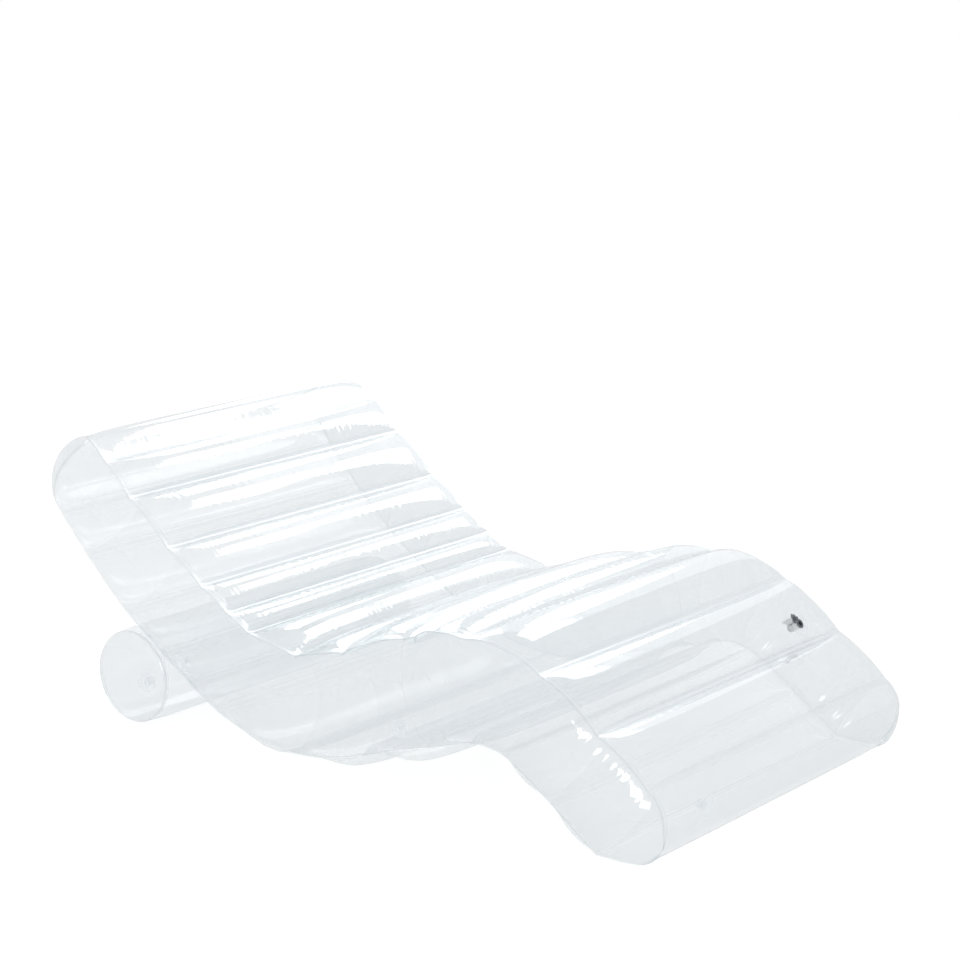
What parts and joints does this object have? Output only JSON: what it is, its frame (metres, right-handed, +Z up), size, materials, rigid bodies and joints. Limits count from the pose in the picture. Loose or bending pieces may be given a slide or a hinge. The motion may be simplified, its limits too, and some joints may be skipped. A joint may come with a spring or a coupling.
{
  "type": "pool lounger",
  "caption": "Clear inflatable pool lounger: a wave-shaped ribbed air mattress with a raised back, a seat dip, a knee arch and a bolster roll welded under the back.",
  "frame": {"origin": "centre of the bounding box on the surface that the lounger lies on", "axes": "+X from the head to the foot, +Y to the side that is on the left of a person lying on it, +Z up"},
  "size_m": [1.6155, 0.952, 0.6228],
  "materials": {
    "clear_film": "glossy clear vinyl film",
    "clear_fitting": "moulded clear soft vinyl",
    "dark_fitting": "moulded dark soft vinyl"
  },
  "bodies": {
    "mattress": {"back_valve_flange": "clear_fitting", "bottom_sheet": "clear_film", "foot_valve_flange": "clear_fitting", "knee_divider": "clear_film", "left_wall_back": "clear_film", "left_wall_leg": "clear_film", "left_wall_seat": "clear_film", "leg_valve_flange": "clear_fitting", "rib_01": "clear_film", "rib_02": "clear_film", "rib_03": "clear_film", "rib_04": "clear_film", "rib_05": "clear_film", "rib_06": "clear_film", "rib_07": "clear_film", "rib_08": "clear_film", "rib_09": "clear_film", "rib_10": "clear_film", "rib_11": "clear_film", "rib_12": "clear_film", "right_wall_back": "clear_film", "right_wall_leg": "clear_film", "right_wall_seat": "clear_film", "roll_left_cap": "clear_film", "roll_right_cap": "clear_film", "roll_tube": "clear_film", "roll_valve_flange": "clear_fitting", "roll_weld_strip": "clear_film", "seat_divider": "clear_film", "seat_valve_flange": "clear_fitting", "top_sheet": "clear_film"},
    "back_valve_stem_body": {"back_valve_stem": "clear_fitting"},
    "back_valve_cap_body": {"back_valve_cap": "clear_fitting"},
    "seat_valve_stem_body": {"seat_valve_stem": "clear_fitting"},
    "seat_valve_cap_body": {"seat_valve_cap": "clear_fitting"},
    "leg_valve_stem_body": {"leg_valve_stem": "dark_fitting"},
    "leg_valve_cap_body": {"leg_valve_cap": "dark_fitting"},
    "foot_valve_stem_body": {"foot_valve_stem": "clear_fitting"},
    "foot_valve_cap_body": {"foot_valve_cap": "clear_fitting"},
    "roll_valve_stem_body": {"roll_valve_stem": "clear_fitting"},
    "roll_valve_cap_body": {"roll_valve_cap": "clear_fitting"}
  },
  "joints": [
    {"name": "back_valve_stem_slide", "type": "slide", "parent": "mattress", "child": "back_valve_stem_body", "axis": [-0.2029, -0.9286, -0.3107], "range_m": [0, 0.012]},
    {"name": "back_valve_cap_hinge", "type": "hinge", "parent": "back_valve_stem_body", "child": "back_valve_cap_body", "pos_m": [-0.37752, -0.47173, 0.19336], "axis": [-0.977, 0.2134, 0], "range_deg": [0, 165]},
    {"name": "seat_valve_stem_slide", "type": "slide", "parent": "mattress", "child": "seat_valve_stem_body", "axis": [0.0977, -0.9363, -0.3374], "range_m": [0, 0.012]},
    {"name": "seat_valve_cap_hinge", "type": "hinge", "parent": "seat_valve_stem_body", "child": "seat_valve_cap_body", "pos_m": [0.2017, -0.47207, 0.16956], "axis": [-0.9946, -0.1038, 0], "range_deg": [0, 165]},
    {"name": "leg_valve_stem_slide", "type": "slide", "parent": "mattress", "child": "leg_valve_stem_body", "axis": [0.8516, 0.0226, 0.5237], "range_m": [0, 0.0144]},
    {"name": "leg_valve_cap_hinge", "type": "hinge", "parent": "leg_valve_stem_body", "child": "leg_valve_cap_body", "pos_m": [0.6326, 0.2949, 0.28022], "axis": [0.4426, -0.5664, -0.6952], "range_deg": [-165, 0]},
    {"name": "foot_valve_stem_slide", "type": "slide", "parent": "mattress", "child": "foot_valve_stem_body", "axis": [0.9888, -0.0074, -0.1488], "range_m": [0, 0.012]},
    {"name": "foot_valve_cap_hinge", "type": "hinge", "parent": "foot_valve_stem_body", "child": "foot_valve_cap_body", "pos_m": [0.80817, -0.29171, 0.08952], "axis": [0.1488, 0, 0.9889], "range_deg": [0, 165]},
    {"name": "roll_valve_stem_slide", "type": "slide", "parent": "mattress", "child": "roll_valve_stem_body", "axis": [0.1864, -0.9825, 0], "range_m": [0, 0.012]},
    {"name": "roll_valve_cap_hinge", "type": "hinge", "parent": "roll_valve_stem_body", "child": "roll_valve_cap_body", "pos_m": [-0.52676, -0.42095, 0.1128], "axis": [-0.9825, -0.1864, 0], "range_deg": [0, 165]}
  ]
}
